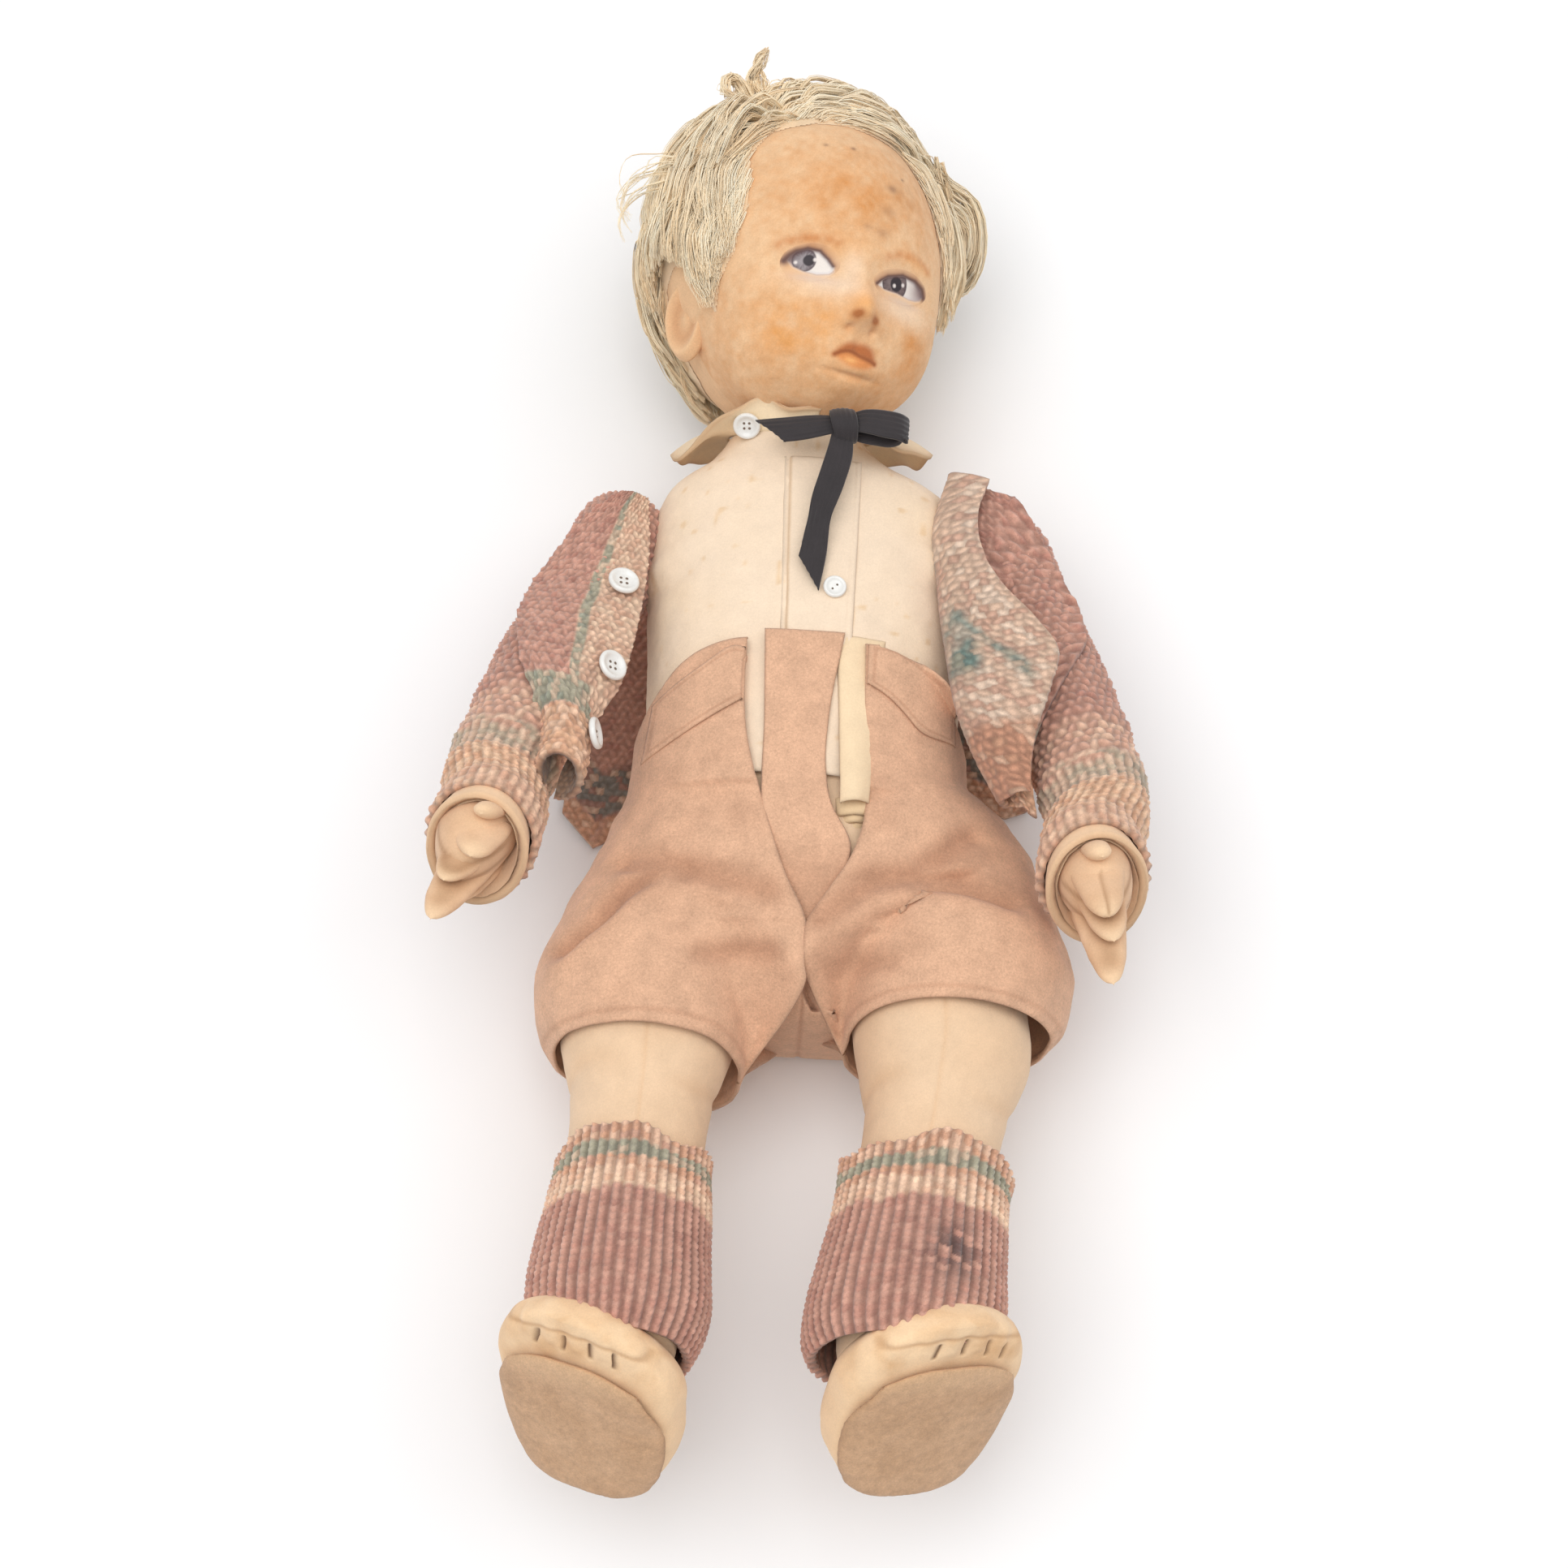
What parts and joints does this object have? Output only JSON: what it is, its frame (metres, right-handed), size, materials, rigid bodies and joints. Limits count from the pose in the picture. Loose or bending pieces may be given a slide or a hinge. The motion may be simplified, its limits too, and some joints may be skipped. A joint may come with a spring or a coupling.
{
  "type": "felt doll",
  "caption": "Jointed stuffed felt doll lying on its back, in felt shirt and shorts, ribbon tie, knitted cardigan and footless socks; head, arms and legs turn on pinned discs.",
  "frame": {"origin": "on the flat rest face under the seat of the shorts, on the body's middle plane", "axes": "+Z from the back to the front of the doll, +Y towards the head, +X to the doll's own left"},
  "size_m": [0.1988, 0.4086, 0.0982],
  "materials": {
    "body_felt": "pressed felt",
    "face_felt": "pressed and painted felt",
    "hair": "mohair",
    "shirt_felt": "felt",
    "ribbon": "woven ribbon",
    "shorts_felt": "felt",
    "sole_felt": "felt",
    "knit": "hand knit",
    "knit_trim": "flecked hand knit",
    "button": "polished",
    "fibre_disc": "pressed fibre",
    "pin_steel": "bare"
  },
  "bodies": {
    "body": {"torso": "body_felt", "hip_disc_body_left": "fibre_disc", "hip_disc_body_right": "fibre_disc", "hip_pin_left": "pin_steel", "hip_pin_right": "pin_steel", "shoulder_disc_body_left": "fibre_disc", "shoulder_disc_body_right": "fibre_disc", "shoulder_pin_left": "pin_steel", "shoulder_pin_right": "pin_steel", "neck_disc_body": "fibre_disc", "neck_pin": "pin_steel", "shirt_body": "shirt_felt", "shirt_placket": "shirt_felt", "shirt_tail": "shirt_felt", "shirt_collar": "shirt_felt", "collar_button": "button", "shirt_button": "button", "ribbon_knot": "ribbon", "ribbon_end_right": "ribbon", "ribbon_loop_left": "ribbon", "ribbon_tail": "ribbon", "shorts_waist": "shorts_felt", "pocket_flap_left": "shorts_felt", "pocket_flap_right": "shorts_felt", "fly_panel": "shorts_felt", "cardigan_back": "knit", "cardigan_front_left": "knit", "cardigan_front_right": "knit", "cardigan_button_1": "button", "cardigan_button_2": "button", "cardigan_button_3": "button"},
    "head": {"head": "face_felt", "wig": "hair", "hair_tuft": "hair", "ear_left": "face_felt", "ear_right": "face_felt", "neck_disc_head": "fibre_disc"},
    "arm_left": {"arm_left": "body_felt", "thumb_left": "body_felt", "sleeve_left": "knit", "cuff_left": "knit_trim", "shoulder_disc_arm_left": "fibre_disc"},
    "leg_left": {"leg_left": "body_felt", "sole_left": "sole_felt", "sock_left": "knit", "shorts_leg_left": "shorts_felt", "hip_disc_leg_left": "fibre_disc"},
    "arm_right": {"arm_right": "body_felt", "thumb_right": "body_felt", "sleeve_right": "knit", "cuff_right": "knit_trim", "shoulder_disc_arm_right": "fibre_disc"},
    "leg_right": {"leg_right": "body_felt", "sole_right": "sole_felt", "sock_right": "knit", "shorts_leg_right": "shorts_felt", "hip_disc_leg_right": "fibre_disc"}
  },
  "joints": [
    {"name": "neck_swivel", "type": "hinge", "parent": "body", "child": "head", "pos_m": [-0.005, 0.1135, 0.0385], "axis": [-0.041, 0.9759, 0.2145], "range_deg": [-84, 36]},
    {"name": "shoulder_left", "type": "hinge", "parent": "body", "child": "arm_left", "pos_m": [0.056, 0.074, 0.036], "axis": [-1, 0, 0], "range_deg": [-60, 140], "deforming": ["cardigan_front_left"]},
    {"name": "shoulder_right", "type": "hinge", "parent": "body", "child": "arm_right", "pos_m": [-0.056, 0.074, 0.036], "axis": [-1, 0, 0], "range_deg": [-60, 140], "deforming": ["cardigan_front_right", "cardigan_button_1", "cardigan_button_2", "cardigan_button_3"]},
    {"name": "hip_left", "type": "hinge", "parent": "body", "child": "leg_left", "pos_m": [0.0148, -0.03, 0.034], "axis": [-1, 0, 0], "range_deg": [-15, 75], "deforming": ["shorts_leg_left"]},
    {"name": "hip_right", "type": "hinge", "parent": "body", "child": "leg_right", "pos_m": [-0.0148, -0.03, 0.034], "axis": [-1, 0, 0], "range_deg": [-15, 75], "deforming": ["shorts_leg_right"]}
  ]
}
